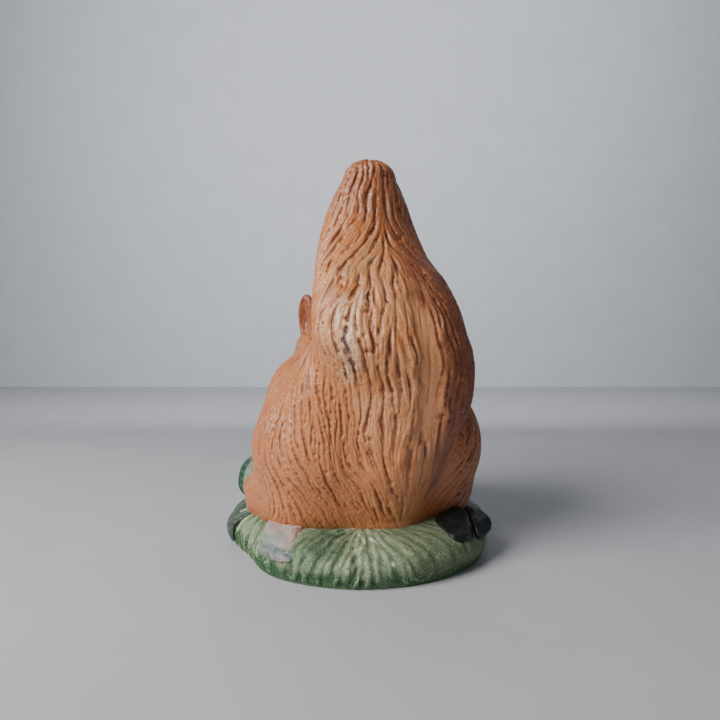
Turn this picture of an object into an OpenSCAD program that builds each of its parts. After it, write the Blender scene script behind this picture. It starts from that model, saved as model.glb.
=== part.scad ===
// Squirrel ornament on a grassy mound: hollow slip-cast earthenware, painted after firing.
// Each casting and each pressed clay piece is its own module, as it lies before it is luted on.
// The animal faces -Y and its left side is +X. The origin is the centre of the mound's flat foot.

/* [Castings] */
// Wall thickness of the hollow castings
wall = 3.5; // [2.5:0.5:4]
// Radius of the air passages between the hollow castings
passage_r = 4; // [3:0.5:5]
// Softness of the modelling where two forms run together
softness = 7; // [4:1:10]

/* [Mound] */
// Mean width of the mound
mound_w = 84; // [78:1:88]
// Height of the mound's flat middle, which the body stands on
mound_h = 10.6; // [10:0.2:12]
// Thickness of the mound's floor
floor_t = 3; // [2.5:0.5:4]
// Radius of the opening under the body
mouth_r = 15; // [10:1:18]

/* [Body] */
// Offset of the body from the mound's middle
body_at = [-2, 1.5, 0]; // [-6:0.5:6]
// Middle of the left haunch
haunch_at = [16, 2, 31]; // [-60:0.5:60]
// Half sizes of a haunch
haunch_r = [22, 23, 23]; // [10:0.5:30]
// Middle of the seat, where the body meets the mound
seat_at = [0, 0, 15]; // [-60:0.5:60]
// Half sizes of the seat
seat_r = [33.5, 24, 15]; // [10:0.5:40]
// Middle of the trunk
trunk_at = [0, -4, 40]; // [-60:0.5:60]
// Half sizes of the trunk
trunk_r = [27, 20.5, 23]; // [10:0.5:30]
// Middle of the left shoulder
shoulder_at = [14, -8, 48.5]; // [-60:0.5:60]
// Half sizes of a shoulder
shoulder_r = [16.5, 14.5, 13.5]; // [10:0.5:30]
// Middle of the fullness between the left shoulder and the tail
nape_at = [15.5, 12.5, 50]; // [-60:0.5:60]
// Half sizes of that fullness
nape_r = [13, 12, 16.5]; // [10:0.5:20]

/* [Head] */
// Middle of the skull
skull_at = [0, -20, 60]; // [-90:0.5:90]
// Half sizes of the skull
skull_r = [16.5, 15.5, 14]; // [8:0.5:20]
// Middle of the muzzle
muzzle_at = [0, -33, 55]; // [-90:0.5:90]
// Half sizes of the muzzle
muzzle_r = [7, 8.4, 6]; // [4:0.2:12]
// Middle of the left ear
ear_at = [12, -19, 74]; // [-90:0.5:90]
// Half sizes of an ear: across, through and up
ear_r = [4.6, 2.8, 7.8]; // [2:0.2:12]
// Direction that the left ear's hollow turns to, from straight ahead
ear_turn = 115; // [0:5:120]
// Lean of the ears outwards
ear_lean = 7; // [0:1:20]
// Width of the rim round an ear's hollow
ear_rim = 1.5; // [1:0.1:2]

/* [Limbs] */
// Left foreleg: shoulder joint, elbow and paw
foreleg_path = [[18, -14, 46], [20, -24, 37], [8, -32, 43]]; // [-60:0.5:60]
// Radius at the shoulder joint, the elbow and the paw
foreleg_r = [7, 6.2, 4.4]; // [2:0.2:9]
// Left hind foot: heel, instep and toes
foot_path = [[25, 9, 14.5], [30, -5, 15], [32, -14.5, 14.5]]; // [-60:0.5:60]
// Radius at the heel, the instep and the toes
foot_r = [6, 6.2, 4.4]; // [2:0.2:9]
// Plane midway between the hind feet
feet_middle = -0.5; // [-3:0.5:3]

/* [Nut] */
// Middle of the nut that the forepaws hold
nut_at = [0, -32, 42]; // [-60:0.5:60]
// Radius of the nut
nut_r = 6.6; // [5:0.2:8]
// Length of the nut below its cup
nut_len = 9; // [7:0.5:11]
// Tilt of the nut's axis
nut_tilt = -14; // [-30:1:0]
// Overhang of the cup's lip
cup_lip = 0.9; // [0.5:0.1:1.5]
// Height of the cup
cup_h = 4.9; // [4:0.1:6]
// Radius of the stalk on the cup
stalk_r = 0.9; // [0.6:0.1:1.2]
// Height of the stalk
stalk_h = 1.5; // [1:0.1:2]

/* [Pressed pieces] */
// Pale stone: its middle, and its half sizes outwards, along the rim and up
pale_stone = [[31.2, 19, 8.2], [6.8, 9, 5]]; // [-60:0.2:60]
// Dark stones: the middle and half sizes of each
dark_stones = [[[-15.6, 31.4, 9], [6.6, 5.2, 4.4]], [[-26.6, 26.6, 9], [5.6, 4.4, 4.6]]]; // [-60:0.2:60]
// Leaf over the mound's rim: its middle and half sizes
rim_leaf = [[39.2, -9.4, 8.8], [4, 8, 7.4]]; // [-60:0.2:60]
// Upright leaf in front of the toes: its middle and half sizes
tall_leaf = [[29.4, -23, 15.6], [2.6, 7, 9.4]]; // [-60:0.2:60]
// Direction that the upright leaf's face turns to
tall_leaf_turn = 68; // [0:1:90]

/* [Hidden] */

fur = [0.70, 0.50, 0.37];
grass = [0.45, 0.54, 0.38];
slate = [0.12, 0.13, 0.12];
pebble = [0.72, 0.66, 0.64];
leaf_green = [0.22, 0.35, 0.24];
nut_brown = [0.47, 0.28, 0.15];

// Tail from root to tip: height, centre x, centre y, half width, half depth
tail_stations = [
  [13, -2, 18.5, 8, 7],
  [24, -2, 22, 12.5, 9.5],
  [34, -4.2, 23.2, 15.4, 10.5],
  [44, -6.6, 24, 18.6, 11.5],
  [53, -6, 24.5, 20.6, 12],
  [60, -3, 24.5, 23.4, 12.5],
  [66, -1, 23.5, 24, 12.5],
  [74, -0.8, 20.5, 23.4, 12.2],
  [83, -0.8, 15.8, 21.2, 11.5],
  [91, -0.3, 10.8, 18.2, 10.6],
  [100, 0, 8.2, 15.3, 9.6],
  [109, 0, 8, 11.9, 8.4],
  [115, 0.2, 8.6, 8, 7],
  [119, 0, 9.4, 4.8, 4.4]];

// Underside of the mound's middle
mound_top = mound_h - wall;
// Mound's section from the foot to its middle: share of the radius, height
mound_side = [[0.965, 0], [0.99, 2.2], [1.01, 5.2], [0.995, 7.2], [0.955, 8.8], [0.9, 9.9], [0.84, mound_h]];
// Hollows in the mound's outline: direction, half angle, depth
mound_dents = [[8, 13, 3], [146, 11, 2.4], [250, 14, 2]];
mound_sides = 40;
// Section of the mound's cavity: share of the radius, height above the floor
cavity_side = [[0.86, 0], [0.885, 1.4], [0.86, 2.8]];
// Share of the radius at the cavity's ceiling
cavity_top = 0.78;

// Points that the rays start from, and how far out they look for each skin
body_core = [-2, -2, 40];
body_hollow_core = [-2, -2, 34];
body_reach = 70;
head_reach = 50;
limb_reach = 40;
lump_reach = 30;
ray_steps = 16;

// Where the air passages to the tail and to the head start
tail_passage = [-2, 0, 36];
head_passage = [0, -15, 44];
passage_len = 40;

// Drop of the tail's root below its first station, and rise and lean of its tip
root_drop = 2;
tip_rise = 1.9;
tip_lean = 0.4;
// Lift from each tail ring to the next, so that no two lie level
ring_lift = 0.02;

// Gap between the nut and the paws round it
paw_gap = 0.02;
// Larger than the whole ornament
big = 200;

// Two distances run together softly over a width k
function blend(a, b, k) = let (h = max(k - abs(a - b), 0) / k) min(a, b) - h * h * k / 4;

// Distance from an ellipsoid, negative inside it
function egg(p, c, r) =
  let (s = [for (i = [0:2]) (p[i] - c[i]) / r[i]], t = [for (i = [0:2]) s[i] / r[i]])
  norm(s) * (norm(s) - 1) / max(norm(t), 0.0001);

// Distance from a tapered rod with round ends
function rod(p, a, b, ra, rb) =
  let (t = min(1, max(0, (p - a) * (b - a) / ((b - a) * (b - a)))))
  norm(p - a - t * (b - a)) - ra - t * (rb - ra);

// The same place seen on the animal's other side
function other(p) = [-p.x, p.y, p.z];

body_form = function (at)
  let (p = at - body_at)
  blend(
    blend(egg(p, seat_at, seat_r),
      blend(egg(p, haunch_at, haunch_r), egg(other(p), haunch_at, haunch_r), softness),
      softness),
    blend(blend(egg(p, trunk_at, trunk_r), egg(p, nape_at, nape_r), softness),
      blend(egg(p, shoulder_at, shoulder_r), egg(other(p), shoulder_at, shoulder_r), softness),
      softness),
    softness);

head_form = function (p)
  blend(egg(p, skull_at, skull_r), egg(p, muzzle_at, muzzle_r), softness);

foreleg_form = function (p)
  blend(
    rod(p, foreleg_path[0], foreleg_path[1], foreleg_r[0], foreleg_r[1]),
    rod(p, foreleg_path[1], foreleg_path[2], foreleg_r[1], foreleg_r[2]),
    softness / 4);

foot_form = function (p)
  blend(
    rod(p, foot_path[0], foot_path[1], foot_r[0], foot_r[1]),
    rod(p, foot_path[1], foot_path[2], foot_r[1], foot_r[2]),
    softness / 4);

// Where a ray from c along d leaves the form, grown inwards by inset
function skin_point(form, inset, c, d, low, high, steps) =
  steps == 0 ? c + d * (low + high) / 2 :
  let (mid = (low + high) / 2)
  form(c + mid * d) + inset < 0
    ? skin_point(form, inset, c, d, mid, high, steps - 1)
    : skin_point(form, inset, c, d, low, mid, steps - 1);

// Closed skin over a stack of rings, from its lowest point to its highest
module skin(rings, lowest, highest) {
  n = len(rings[0]);
  rows = len(rings);
  top = rows * n + 1;
  polyhedron(
    points = concat([for (ring = rings) each ring], [lowest, highest]),
    faces = concat(
      [for (i = [0:rows - 2], j = [0:n - 1])
        let (k = (j + 1) % n) each [
          [i * n + j, (i + 1) * n + j, (i + 1) * n + k],
          [i * n + j, (i + 1) * n + k, i * n + k]]],
      [for (j = [0:n - 1]) [j, (j + 1) % n, top - 1]],
      [for (j = [0:n - 1]) [(rows - 1) * n + (j + 1) % n, (rows - 1) * n + j, top]]));
}

// Solid of a form, traced outwards from a point inside it
module traced(form, centre, reach, rows, sides, inset = 0) {
  function ray(up, turn) = [cos(up) * cos(turn), cos(up) * sin(turn), sin(up)];
  skin(
    [for (i = [1:rows - 1]) let (up = -90 + 180 * i / rows)
      [for (j = [0:sides - 1])
        skin_point(form, inset, centre, ray(up, 360 * j / sides), 0, reach, ray_steps)]],
    skin_point(form, inset, centre, [0, 0, -1], 0, reach, ray_steps),
    skin_point(form, inset, centre, [0, 0, 1], 0, reach, ray_steps));
}

// Smooth value at t between a list's stations
function eased(list, t) =
  let (
    n = len(list) - 1,
    i = min(n - 1, floor(t)),
    u = t - i,
    a = list[max(0, i - 1)],
    b = list[i],
    c = list[i + 1],
    d = list[min(n, i + 2)])
  b + u / 2 * (c - a + u * (2 * a - 5 * b + 4 * c - d + u * (3 * (b - c) + d - a)));

// Tail's solid, thinner all round by inset
module tail_solid(inset = 0, rows = 24, sides = 32) {
  last = len(tail_stations) - 1;
  root = tail_stations[0];
  tip = tail_stations[last];
  shrunk = [for (s = tail_stations) [min(s[0], tip[0] - inset), s[1], s[2],
    max(s[3] - inset, 1), max(s[4] - inset, 1)]];
  skin(
    [for (i = [0:rows]) let (s = eased(shrunk, last * i / rows))
      [for (j = [0:sides - 1]) let (a = 360 * j / sides)
        [s[1] + s[3] * cos(a), s[2] + s[4] * sin(a), s[0] + ring_lift * i]]],
    [root[1], root[2], root[0] - root_drop],
    [tip[1], tip[2] + tip_lean, tip[0] + tip_rise - inset]);
}

// Depth at angle a of one dent, which fades out at twice its half angle
function dent(a, d) =
  let (away = min(2, abs((a - d[0] + 540) % 360 - 180) / d[1]))
  d[2] * (1 + cos(90 * away)) / 2;

// Outline of the mound: its radius at angle a
function mound_r(a) = mound_w / 2 - max([for (d = mound_dents) dent(a, d)]);

// One ring round the mound, at a share of its radius
function mound_ring(share, z) =
  [for (j = [0:mound_sides - 1]) let (a = 360 * j / mound_sides)
    [share * mound_r(a) * cos(a), share * mound_r(a) * sin(a), z]];

module mound_solid() {
  skin([for (s = mound_side) mound_ring(s[0], s[1])], [0, 0, 0], [0, 0, mound_h]);
}

module mound_cavity() {
  skin(
    concat([for (s = cavity_side) mound_ring(s[0], floor_t + s[1])], [mound_ring(cavity_top, mound_top)]),
    [0, 0, floor_t],
    [0, 0, mound_top]);
}

// Body's solid, standing on the mound's flat middle
module body_solid() {
  difference() {
    traced(body_form, body_core, body_reach, 24, 48);
    below_seat();
  }
}

// Everything lower than the seat
module below_seat() {
  translate([-big / 2, -big / 2, mound_h - big]) cube(big);
}

// Egg-shaped lump of clay: half sizes r, middle c
module lump(c, r, rows = 8, sides = 16) {
  traced(function (p) egg(p, c, r), c, lump_reach, rows, sides);
}

// resize() by nothing joins the skins inside it into one casting
module casting() {
  resize([0, 0, 0]) children();
}

module mound_shell() color(grass)
  casting() difference() {
    mound_solid();
    mound_cavity();
    // Turned a little, so that its sides don't line up with the mound's
    translate([0, 0, floor_t + 1]) rotate(2) cylinder(r = mouth_r, h = mound_h, $fn = 36);
  }

module body_shell() color(fur)
  casting() difference() {
    body_solid();
    traced(body_form, body_hollow_core, body_reach, 18, 36, wall);
    translate(tail_passage) rotate([-90, 0, 0]) cylinder(r = passage_r, h = passage_len, $fn = 20);
    translate(head_passage) cylinder(r = passage_r, h = passage_len, $fn = 20);
  }

module tail_shell() color(fur)
  casting() difference() {
    tail_solid();
    tail_solid(wall, 18, 24);
    body_solid();
    below_seat();
  }

module head_shell() color(fur)
  casting() difference() {
    traced(head_form, skull_at, head_reach, 20, 36);
    traced(head_form, skull_at, head_reach, 14, 24, wall);
    body_solid();
  }

module ear() color(fur)
  casting() difference() {
    translate(ear_at) rotate([0, ear_lean, 0]) rotate(ear_turn) difference() {
      lump([0, 0, 0], ear_r, 12, 20);
      lump([0, -ear_r.y, ear_rim / 2], [ear_r.x, ear_r.y, ear_r.z] - ear_rim * [1, 0.4, 1.3], 8, 16);
    }
    traced(head_form, skull_at, head_reach, 20, 36);
  }

module left_ear() ear();

module right_ear() mirror([1, 0, 0]) ear();

// Nut below its cup, as a solid of revolution
module nut_form(grow = 0) {
  r = nut_r + grow;
  long = nut_len + grow;
  translate(nut_at) rotate([nut_tilt, 0, 0]) rotate_extrude($fn = 40)
    polygon(concat(
      [[0, 0]],
      [for (a = [0:10:80]) [r * cos(a), -long * sin(a)]],
      [[0, -long]]));
}

// Cup with its stalk, as a solid of revolution
module nut_cup_form(grow = 0) {
  r = nut_r + cup_lip + grow;
  high = cup_h + grow;
  stalk_top = high + stalk_h;
  translate(nut_at) rotate([nut_tilt, 0, 0]) rotate_extrude($fn = 40)
    polygon(concat(
      [[0, 0], [r - cup_lip / 2, 0], [r, cup_lip]],
      [for (a = [20:14:76]) [r * cos(a), high * sin(a)]],
      [[stalk_r, high], [stalk_r, stalk_top], [0, stalk_top]]));
}

module nut() color(nut_brown) nut_form();

module nut_cup() color(nut_brown * 0.75) nut_cup_form();

module foreleg() color(fur)
  casting() difference() {
    traced(foreleg_form, foreleg_path[1], limb_reach, 14, 24);
    body_solid();
    nut_form(paw_gap);
    nut_cup_form(paw_gap);
    traced(head_form, skull_at, head_reach, 20, 36);
  }

module left_foreleg() foreleg();

module right_foreleg() mirror([1, 0, 0]) foreleg();

// Foot's solid, which starts well inside the body
module foot_solid() {
  difference() {
    traced(foot_form, foot_path[1], limb_reach, 14, 24);
    below_seat();
  }
}

module left_hind_foot() color(fur)
  casting() difference() {
    foot_solid();
    body_solid();
  }

// The right foot is the left one seen in the plane midway between them
module right_hind_foot() color(fur)
  casting() difference() {
    translate([2 * feet_middle, 0, 0]) mirror([1, 0, 0]) foot_solid();
    body_solid();
  }

// Piece pressed in a mould and laid on the mound, facing outwards unless it is turned
module pressed(piece, turn, rows, sides) {
  at = piece[0];
  difference() {
    translate(at) rotate(turn) lump([0, 0, 0], piece[1], rows, sides);
    mound_solid();
    body_solid();
    foot_solid();
  }
}

// Direction of a place from the mound's axis
function outwards(at) = atan2(at.y, at.x);

module pale_stone() color(pebble)
  casting() pressed(pale_stone, outwards(pale_stone[0]), 6, 9);

module dark_stones() color(slate)
  casting() for (stone = dark_stones) pressed(stone, outwards(stone[0]), 6, 9);

module rim_leaf() color(leaf_green)
  casting() pressed(rim_leaf, outwards(rim_leaf[0]), 8, 14);

module tall_leaf() color(leaf_green)
  casting() pressed(tall_leaf, tall_leaf_turn, 8, 14);

mound_shell();
body_shell();
tail_shell();
head_shell();
left_ear();
right_ear();
left_foreleg();
right_foreleg();
left_hind_foot();
right_hind_foot();
nut();
nut_cup();
pale_stone();
dark_stones();
rim_leaf();
tall_leaf();
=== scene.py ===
"""Painted ceramic squirrel on a grassy mound: the looks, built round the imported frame.

The forms are worked out in millimetres in the row frame (+Z up, the animal faces -Y, its left is +X) and
become metres when they turn into meshes. Each form is a distance field: a skin is traced on it, refined and
then carved with strokes that follow the lie of the fur.
"""
import math
from collections import Counter

import bmesh
import bpy
import numpy as np
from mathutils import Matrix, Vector


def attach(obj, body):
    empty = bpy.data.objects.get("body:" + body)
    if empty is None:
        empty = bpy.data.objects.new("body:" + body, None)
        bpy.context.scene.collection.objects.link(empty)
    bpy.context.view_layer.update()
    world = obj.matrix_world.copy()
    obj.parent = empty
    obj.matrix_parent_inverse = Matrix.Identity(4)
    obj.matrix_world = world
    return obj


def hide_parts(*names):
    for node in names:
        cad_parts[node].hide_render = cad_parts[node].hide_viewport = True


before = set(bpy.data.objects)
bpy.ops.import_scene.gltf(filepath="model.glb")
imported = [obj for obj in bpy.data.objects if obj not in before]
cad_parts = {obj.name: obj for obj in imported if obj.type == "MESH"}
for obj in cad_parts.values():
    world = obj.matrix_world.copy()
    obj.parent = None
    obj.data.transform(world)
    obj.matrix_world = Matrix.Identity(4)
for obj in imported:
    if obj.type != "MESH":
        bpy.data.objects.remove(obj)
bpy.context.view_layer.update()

MM = 0.001
# Side of a cell of the animal's first skin, whose quads are then split twice
CELL = 1.6


# ---------------------------------------------------------------- numbers

def ramp(low, high, value):
    """0 below low, 1 above high, and an S curve between them."""
    t = np.clip((value - low) / (high - low), 0.0, 1.0)
    return t * t * (3.0 - 2.0 * t)


def band(value, start, full, fade, end):
    """1 from full to fade, 0 before start and after end."""
    return ramp(start, full, value) * ramp(end, fade, value)


def blend(a, b, width):
    """Smaller of two distances, run together softly over a width."""
    h = np.maximum(width - np.abs(a - b), 0.0) / width
    return np.minimum(a, b) - h * h * width / 4.0


def unit(v):
    return v / np.maximum(np.linalg.norm(v, axis=-1, keepdims=True), 1e-9)


class Noise:
    """Smooth random field, the same on every run: values from -1 to 1 on a lattice that repeats."""

    SIZE = 48

    def __init__(self, seed):
        self.lattice = np.random.default_rng(seed).uniform(-1, 1, (self.SIZE,) * 3).astype(np.float32)

    def __call__(self, points, cell):
        """Value at each point, for bumps about two cells apart."""
        q = points / cell
        low = np.floor(q).astype(np.int64)
        t = (q - low).astype(np.float32)
        t = t * t * (3 - 2 * t)
        a = low % self.SIZE
        b = (low + 1) % self.SIZE
        out = 0
        for i in (0, 1):
            x = (b if i else a)[:, 0]
            wx = t[:, 0] if i else 1 - t[:, 0]
            for j in (0, 1):
                y = (b if j else a)[:, 1]
                wy = t[:, 1] if j else 1 - t[:, 1]
                for k in (0, 1):
                    z = (b if k else a)[:, 2]
                    wz = t[:, 2] if k else 1 - t[:, 2]
                    out = out + self.lattice[x, y, z] * (wx * wy * wz)
        return out


# ---------------------------------------------------------------- forms (mm)

def egg(p, centre, half):
    """Distance from an ellipsoid."""
    s = (p - centre) / half
    n = np.linalg.norm(s, axis=1)
    return n * (n - 1.0) / np.maximum(np.linalg.norm(s / half, axis=1), 1e-6)


def rod(p, a, b, ra, rb):
    """Distance from a tapered rod with round ends."""
    a, b = np.asarray(a, float), np.asarray(b, float)
    along = b - a
    t = np.clip(((p - a) @ along) / (along @ along), 0.0, 1.0)
    return np.linalg.norm(p - a - t[:, None] * along, axis=1) - ra - t * (rb - ra)


def other_side(p, middle=0.0):
    """The same places seen on the animal's other side."""
    q = p.copy()
    q[:, 0] = 2 * middle - q[:, 0]
    return q


# Tail from root to tip: height, centre x, centre y, half width, half depth
TAIL = np.array([
    (13, -2, 18.5, 8, 7), (24, -2, 22, 12.5, 9.5), (34, -4.2, 23.2, 15.4, 10.5), (44, -6.6, 24, 18.6, 11.5),
    (53, -6, 24.5, 20.6, 12), (60, -3, 24.5, 23.4, 12.5), (66, -1, 23.5, 24, 12.5),
    (74, -0.8, 20.5, 23.4, 12.2), (83, -0.8, 15.8, 21.2, 11.5), (91, -0.3, 10.8, 18.2, 10.6),
    (100, 0, 8.2, 15.3, 9.6), (109, 0, 8, 11.9, 8.4), (115, 0.2, 8.6, 8.4, 7)])
TAIL_TIP = 120.9
TAIL_TIP_FLAT = 0.35
TAIL_ROOT_SUNK = 3


def eased(stations, rows_each=12):
    """Catmull-Rom curve through the stations."""
    last = len(stations) - 1
    out = []
    for s in np.linspace(0, last, last * rows_each + 1):
        i = min(last - 1, int(s))
        u = s - i
        a, b, c, d = (stations[min(max(k, 0), last)] for k in (i - 1, i, i + 1, i + 2))
        out.append(b + u / 2 * (c - a + u * (2 * a - 5 * b + 4 * c - d + u * (3 * (b - c) + d - a))))
    return np.array(out)


TAIL_CURVE = eased(TAIL)


def tail_section(z):
    """Centre x and y, half width and half depth of the tail at each height."""
    cx, cy, wide, deep = (np.interp(z, TAIL_CURVE[:, 0], TAIL_CURVE[:, k]) for k in (1, 2, 3, 4))
    # From the last station up, the tail closes as a round end
    top = TAIL_CURVE[-1, 0]
    left = np.clip((TAIL_TIP - z) / (TAIL_TIP - top), 0.0, 1.0)
    close = np.where(z > top, np.sqrt(np.clip(1 - (1 - left) ** 2, 0, 1)), 1.0)
    return cx, cy + 0.16 * np.maximum(z - top, 0), wide * close, deep * close


def tail_form(p):
    z = p[:, 2]
    root, top = TAIL_CURVE[0, 0], TAIL_TIP - TAIL_TIP_FLAT
    cx, cy, wide, deep = tail_section(np.clip(z, root, top))
    dx, dy = p[:, 0] - cx, p[:, 1] - cy
    s = np.sqrt((dx / wide) ** 2 + (dy / deep) ** 2)
    slope = np.sqrt((dx / wide ** 2) ** 2 + (dy / deep ** 2) ** 2)
    side = np.where(s > 0.3, s * (s - 1) / np.maximum(slope, 1e-6), -np.minimum(wide, deep) * (1 - s))
    beyond = np.maximum(z - top, root - TAIL_ROOT_SUNK - z)
    return np.where(beyond > 0, np.hypot(np.maximum(side, 0), beyond), np.maximum(side, beyond))


# Rounded masses of the body and the head: centre, half size
BODY_AT = np.array([-2.0, 1.5, 0.0])
SEAT = (0, 0, 15), (33.5, 24, 15)
HAUNCH = (16, 2, 31), (22, 23, 23)
TRUNK = (0, -4, 40), (27, 20.5, 23)
SHOULDER = (14, -8, 48.5), (16.5, 14.5, 13.5)
NAPE = (15.5, 12.5, 50), (13, 12, 16.5)
SKULL = (0, -20, 60), (16.5, 15.5, 14)
MUZZLE = (0, -33, 55), (7, 8.4, 6)
CHEEK = (7, -27.5, 54), (6, 6.5, 6)
# Width over which the body's masses run together
SOFT = 7.0


def both_sides(p, mass, width):
    return blend(egg(p, *mass), egg(other_side(p), *mass), width)


def body_form(at):
    p = at - BODY_AT
    low = blend(egg(p, *SEAT), both_sides(p, HAUNCH, SOFT), SOFT)
    high = blend(egg(p, *TRUNK), both_sides(p, SHOULDER, SOFT), SOFT)
    return blend(blend(low, high, SOFT), egg(p, *NAPE), 8.0)


def head_form(p):
    return blend(blend(egg(p, *SKULL), egg(p, *MUZZLE), 5.0), both_sides(p, CHEEK, 3.0), 3.0)


# A limb's line and its radii at the three points of the line
FORELEG = [(18, -14, 46), (20, -24, 37), (8, -32, 43)], (7, 6.2, 4.4)
FOOT = [(25, 9, 14.5), (30, -5, 15), (32, -14.5, 16.2)], (6, 6.2, 4.0)
# Plane midway between the hind feet
FEET_MIDDLE = -0.5


def limb_form(p, line, radii):
    upper = rod(p, *line[:2], *radii[:2])
    lower = rod(p, *line[1:], *radii[1:])
    return blend(upper, lower, 2.0)


FORMS = {
    "body": body_form,
    "tail": tail_form,
    "head": head_form,
    "left_foreleg": lambda p: limb_form(p, *FORELEG),
    "right_foreleg": lambda p: limb_form(other_side(p), *FORELEG),
    "left_foot": lambda p: limb_form(p, *FOOT),
    "right_foot": lambda p: limb_form(other_side(p, FEET_MIDDLE), *FOOT),
}
# Height at which the animal's skin ends, under the mound's top
ANIMAL_BOTTOM = 5.6


def animal_form(p):
    """The whole furred animal, with a crease where the castings meet."""
    d = {name: form(p) for name, form in FORMS.items()}
    soft_side = ramp(-12, 6, p[:, 0])
    root = 2.0 + 5.0 * soft_side + (6.0 - 3.0 * soft_side) * ramp(36, 16, p[:, 2])
    whole = blend(d["body"], d["tail"], root)
    whole = blend(whole, d["head"], 9.0)
    for side in ("left", "right"):
        whole = blend(whole, d[side + "_foreleg"], 2.5)
        whole = blend(whole, d[side + "_foot"], 8.0)
    return np.maximum(whole, ANIMAL_BOTTOM - p[:, 2])


# ---------------------------------------------------------------- skins

def in_batches(form, points, size=200_000):
    return np.concatenate([form(points[i:i + size]) for i in range(0, len(points), size)])


def on_grid(form, low, cell, counts):
    """A form's value at each node of a grid."""
    axes = [low[k] + cell * np.arange(counts[k]) for k in range(3)]
    return in_batches(form, np.stack(np.meshgrid(*axes, indexing="ij"), -1).reshape(-1, 3))


def first_skin(form, low, high, cell):
    """Quads round a form's surface, one corner to each cell that the surface crosses."""
    counts = np.ceil((np.array(high) - low) / cell).astype(int) + 1
    value = on_grid(form, low, cell, counts).reshape(counts)
    inside = value < 0
    offsets = [(i, j, k) for i in (0, 1) for j in (0, 1) for k in (0, 1)]
    edges = [(a, b) for a in range(8) for b in range(a + 1, 8)
             if sum(abs(x - y) for x, y in zip(offsets[a], offsets[b])) == 1]

    def corner(grid, o):
        return grid[tuple(slice(o[k], counts[k] - 1 + o[k]) for k in range(3))]

    corners_in = np.stack([corner(inside, o) for o in offsets], -1)
    mixed = corners_in.any(-1) & ~corners_in.all(-1)
    cells = np.argwhere(mixed)
    at = np.stack([value[tuple((cells + o).T)] for o in offsets], -1)
    total, hits = np.zeros((len(cells), 3)), np.zeros(len(cells))
    for a, b in edges:
        crossed = (at[:, a] < 0) != (at[:, b] < 0)
        t = np.where(crossed, at[:, a] / np.where(crossed, at[:, a] - at[:, b], 1), 0)
        point = np.array(offsets[a]) + t[:, None] * (np.array(offsets[b]) - offsets[a])
        total += np.where(crossed[:, None], point, 0)
        hits += crossed
    points = low + cell * (cells + total / hits[:, None])
    number = -np.ones(mixed.shape, int)
    number[mixed] = np.arange(len(cells))
    quads = []
    for axis in range(3):
        u, v = (axis + 1) % 3, (axis + 2) % 3
        step = np.eye(3, dtype=int)
        here = np.argwhere(np.diff(inside.astype(np.int8), axis=axis) != 0)
        here = here[(here[:, u] > 0) & (here[:, v] > 0)
                    & (here[:, u] < counts[u] - 1) & (here[:, v] < counts[v] - 1)]
        leaving = inside[tuple(here.T)]
        ring = [number[tuple((here - du * step[u] - dv * step[v]).T)]
                for du, dv in ((1, 1), (0, 1), (0, 0), (1, 0))]
        ring = np.stack(ring, 1)
        ring[~leaving] = ring[~leaving][:, ::-1]
        quads.append(ring)
    return points, np.concatenate(quads)


def gradient(form, p, step=0.05):
    base = form(p)
    parts = []
    for k in range(3):
        q = p.copy()
        q[:, k] += step
        parts.append((form(q) - base) / step)
    return base, np.stack(parts, 1)


def settle(form, p, rounds=2):
    """Moves points onto a form's surface."""
    for _ in range(rounds):
        value, slope = gradient(form, p)
        steep = np.maximum((slope ** 2).sum(1), 0.05)
        move = -slope * (value / steep)[:, None]
        far = np.linalg.norm(move, axis=1, keepdims=True)
        p = p + move * np.minimum(1, 1.0 / np.maximum(far, 1e-9))
    return p


def refined(points, quads):
    """Each quad split into four, with a rounder skin."""
    mesh = bpy.data.meshes.new("refining")
    mesh.vertices.add(len(points))
    mesh.vertices.foreach_set("co", np.asarray(points, np.float32).ravel())
    mesh.loops.add(quads.size)
    mesh.loops.foreach_set("vertex_index", np.asarray(quads, np.int32).ravel())
    mesh.polygons.add(len(quads))
    mesh.polygons.foreach_set("loop_start", np.arange(len(quads), dtype=np.int32) * 4)
    mesh.update(calc_edges=True)
    obj = bpy.data.objects.new("refining", mesh)
    bpy.context.collection.objects.link(obj)
    obj.modifiers.new("finer", "SUBSURF").levels = 1
    done = obj.evaluated_get(bpy.context.evaluated_depsgraph_get())
    finer = done.to_mesh()
    points = np.empty(len(finer.vertices) * 3, np.float32)
    finer.vertices.foreach_get("co", points)
    quads = np.empty(len(finer.loops), np.int32)
    finer.loops.foreach_get("vertex_index", quads)
    done.to_mesh_clear()
    bpy.data.objects.remove(obj)
    return points.reshape(-1, 3).astype(float), quads.reshape(-1, 4)


def normals_of(points, quads):
    a, b, c, d = (points[quads[:, k]] for k in range(4))
    face = np.cross(c - a, d - b)
    out = np.zeros_like(points)
    for k in range(4):
        for axis in range(3):
            out[:, axis] += np.bincount(quads[:, k], face[:, axis], len(points))
    return unit(out)


def sides_of(quads):
    """The four directed edges of each quad."""
    return np.concatenate([quads[:, [k, (k + 1) % 4]] for k in range(4)])


def doubled_edges(quads):
    """How many directed edges have more than one face, as at a cell where two skins nearly touch."""
    a, b = sides_of(quads).T
    _, count = np.unique(a.astype(np.int64) * (quads.max() + 1) + b, return_counts=True)
    return int((count > 1).sum())


# Places of the grid to try, in cells
GRID_SHIFTS = np.array([
    (2, 6, 3), (0, 0, 0), (3, 2, 1), (7, 4, 2), (5, 1, 4), (1, 3, 6)]) / 16


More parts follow.
